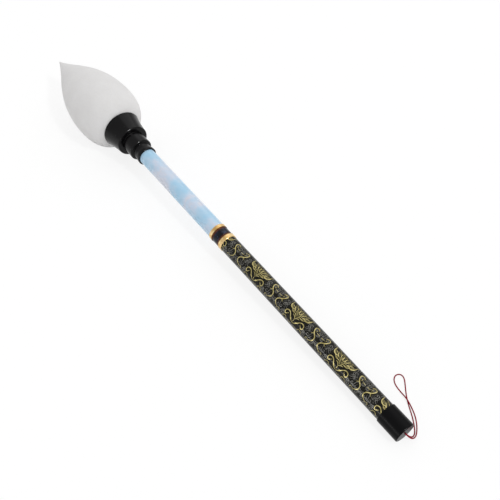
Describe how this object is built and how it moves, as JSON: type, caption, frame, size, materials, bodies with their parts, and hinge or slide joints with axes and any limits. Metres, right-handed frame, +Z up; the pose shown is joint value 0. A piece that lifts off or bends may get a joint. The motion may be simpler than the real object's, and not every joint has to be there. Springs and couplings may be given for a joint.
{
  "type": "floor calligraphy brush",
  "caption": "Large floor calligraphy brush: teardrop foam head in a stepped screw-on cup, two-part tube handle with a gold and black collar, push-on tail cap and hanging cord.",
  "frame": {"origin": "centre of the footprint (cord left out) on the ground that the brush lies on", "axes": "+X along the ground from the sponge tip towards the tail, +Z up; the brush's own axis lies in the XZ plane and slopes down towards the tail by 3.02 degrees"},
  "size_m": [0.656, 0.086, 0.0787],
  "materials": {
    "sponge_foam": "matte",
    "black_plastic": "satin",
    "core_plastic": "matte",
    "screw_steel": "satin",
    "brass": "satin",
    "seal_rubber": "matte",
    "fibre": "matte",
    "tube_plastic": "matte",
    "marbled_film": "gloss",
    "patterned_film": "gloss",
    "gold_ring": "polished",
    "band_plastic": "gloss",
    "red_cord": "matte"
  },
  "bodies": {
    "lower_section": {"joint_socket": "band_plastic", "band_washer": "fibre", "lower_gold_ring": "gold_ring", "lower_tube": "tube_plastic", "lower_film": "patterned_film", "tail_plug": "core_plastic"},
    "collar_washer": {"joint_washer": "fibre"},
    "upper_section": {"neck_socket": "black_plastic", "neck_insert": "brass", "neck_plug": "core_plastic", "upper_tube": "tube_plastic", "upper_film": "marbled_film", "upper_gold_ring": "gold_ring", "joint_spigot": "core_plastic"},
    "seal": {"neck_seal": "seal_rubber"},
    "head": {"sponge_head": "sponge_foam", "sponge_core": "core_plastic", "core_screw": "screw_steel", "screw_washer": "screw_steel", "ferrule_cup": "black_plastic"},
    "tail_cap": {"end_cap": "black_plastic", "knot_washer": "screw_steel", "cord_knot": "red_cord", "hanging_cord": "red_cord"}
  },
  "joints": [
    {"name": "section_turn", "type": "hinge", "parent": "collar_washer", "child": "upper_section", "pos_m": [0.04378, 0, 0.02574], "axis": [-0.9986, 0, 0.0527], "range_deg": [0, 1440.5]},
    {"name": "section_travel", "type": "slide", "parent": "lower_section", "child": "collar_washer", "axis": [-0.9986, 0, 0.0527], "range_m": [0, 0.012]},
    {"name": "head_turn", "type": "hinge", "parent": "seal", "child": "head", "pos_m": [-0.13498, 0, 0.03517], "axis": [-0.9986, 0, 0.0527], "range_deg": [0, 1440.5]},
    {"name": "head_travel", "type": "slide", "parent": "upper_section", "child": "seal", "axis": [-0.9986, 0, 0.0527], "range_m": [0, 0.012]},
    {"name": "cap_pull", "type": "slide", "parent": "lower_section", "child": "tail_cap", "axis": [0.9986, 0, -0.0527], "range_m": [0, 0.015]}
  ],
  "couplings": [
    {"joint": "section_turn", "follows": "section_travel", "rad_per_m": 2094.4},
    {"joint": "head_turn", "follows": "head_travel", "rad_per_m": 2094.4}
  ]
}
